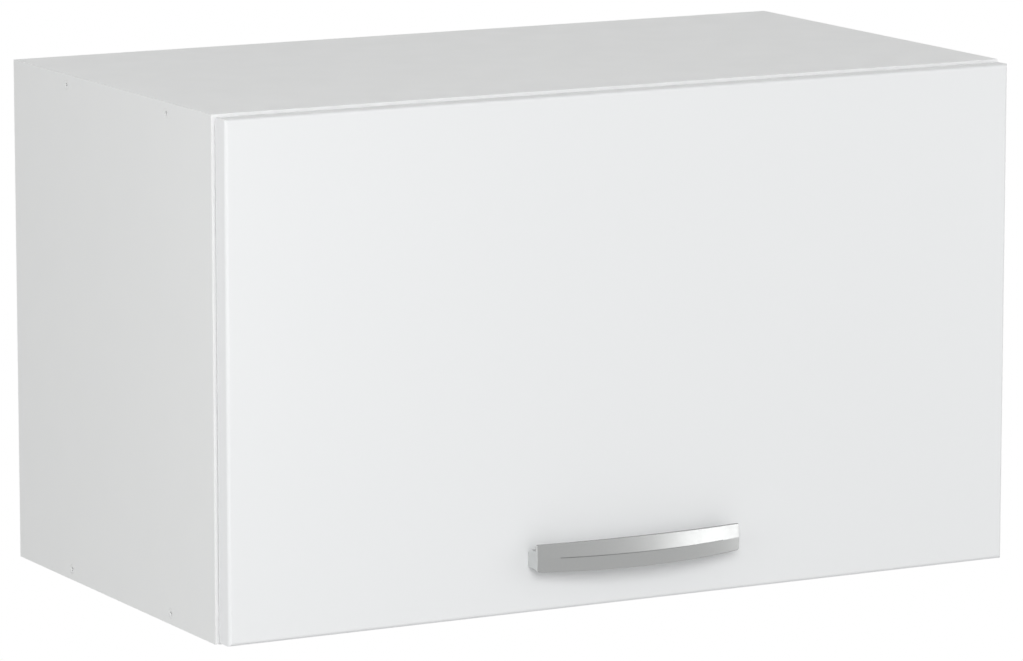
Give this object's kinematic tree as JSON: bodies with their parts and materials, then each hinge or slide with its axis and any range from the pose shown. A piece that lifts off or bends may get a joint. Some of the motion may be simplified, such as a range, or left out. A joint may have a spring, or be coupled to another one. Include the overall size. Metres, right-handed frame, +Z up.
{
  "type": "lift up wall cabinet",
  "caption": "Low white kitchen wall cabinet with a full-width flap that lifts up on concealed hinges and gas struts, and a bow handle at its lower edge.",
  "frame": {"origin": "on the wall plane, at the middle of the carcass's lower rear edge", "axes": "+X to the right as one faces the cabinet, +Y into the wall, +Z up; the flap faces -Y"},
  "size_m": [0.6, 0.3614, 0.35],
  "materials": {
    "white_board": "satin melamine coating on chipboard, white",
    "white_edge_band": "satin, white",
    "hardboard": "white lacquer inside, bare brown fibre outside",
    "white_wrapped_board": "satin film wrapped round a fibreboard core, white",
    "plated_steel": "zinc or nickel plated",
    "beech": "bare",
    "screw_white": "white heads to match the board",
    "handle_satin": "satin lacquered",
    "strut_tube": "dark grey lacquer",
    "strut_rod": "polished",
    "black_plastic": "moulded",
    "white_plastic": "moulded",
    "soft_stop": "soft, translucent white"
  },
  "bodies": {
    "carcass": {"side_panel_left": "white_board", "side_panel_right": "white_board", "bottom_panel": "white_board", "top_panel": "white_board", "back_panel": "hardboard", "edge_band_left": "white_edge_band", "edge_band_right": "white_edge_band", "edge_band_bottom": "white_edge_band", "edge_band_top": "white_edge_band", "carcass_screws": "screw_white", "carcass_dowels": "beech", "hinge_arm_left": "plated_steel", "hinge_plate_left": "plated_steel", "hinge_arm_right": "plated_steel", "hinge_plate_right": "plated_steel", "hinge_plate_screws": "plated_steel", "hinge_arm_screws": "plated_steel", "strut_side_stud_left": "plated_steel", "strut_side_stud_right": "plated_steel", "strut_side_stud_screws": "plated_steel", "hanger_body_left": "white_plastic", "hanger_hook_left": "plated_steel", "hanger_body_right": "white_plastic", "hanger_hook_right": "plated_steel", "hanger_screws": "plated_steel", "flap_bumpers": "soft_stop"},
    "flap": {"flap_panel": "white_wrapped_board", "hinge_cup_left": "plated_steel", "hinge_cup_right": "plated_steel", "hinge_pins": "plated_steel", "hinge_cup_screws": "plated_steel", "strut_flap_bracket_left": "plated_steel", "strut_flap_bracket_right": "plated_steel", "strut_bracket_screws": "plated_steel", "handle": "handle_satin", "handle_screws": "plated_steel"},
    "strut_left_cylinder": {"strut_upper_socket_left": "black_plastic", "strut_cylinder_left": "strut_tube", "strut_guide_left": "black_plastic"},
    "strut_left_rod": {"strut_rod_left": "strut_rod", "strut_lower_socket_left": "black_plastic"},
    "strut_right_cylinder": {"strut_upper_socket_right": "black_plastic", "strut_cylinder_right": "strut_tube", "strut_guide_right": "black_plastic"},
    "strut_right_rod": {"strut_rod_right": "strut_rod", "strut_lower_socket_right": "black_plastic"}
  },
  "joints": [
    {"name": "flap_opening", "type": "hinge", "parent": "carcass", "child": "flap", "pos_m": [0, -0.329, 0.342], "axis": [-1, 0, 0], "range_deg": [0, 90]},
    {"name": "strut_left_swing", "type": "hinge", "parent": "carcass", "child": "strut_left_cylinder", "pos_m": [-0.272, -0.15119, 0.314], "axis": [-1, 0, 0], "range_deg": [0, 45]},
    {"name": "strut_left_rod_turn", "type": "hinge", "parent": "flap", "child": "strut_left_rod", "pos_m": [-0.272, -0.308, 0.16323], "axis": [-1, 0, 0], "range_deg": [-45, 0]},
    {"name": "strut_right_swing", "type": "hinge", "parent": "carcass", "child": "strut_right_cylinder", "pos_m": [0.272, -0.15119, 0.314], "axis": [-1, 0, 0], "range_deg": [0, 45]},
    {"name": "strut_right_rod_turn", "type": "hinge", "parent": "flap", "child": "strut_right_rod", "pos_m": [0.272, -0.308, 0.16323], "axis": [-1, 0, 0], "range_deg": [-45, 0]}
  ],
  "couplings": [
    {"joint": "strut_left_swing", "follows": "flap_opening", "ratio": 0.5},
    {"joint": "strut_left_rod_turn", "follows": "flap_opening", "ratio": -0.5},
    {"joint": "strut_right_swing", "follows": "flap_opening", "ratio": 0.5},
    {"joint": "strut_right_rod_turn", "follows": "flap_opening", "ratio": -0.5}
  ]
}
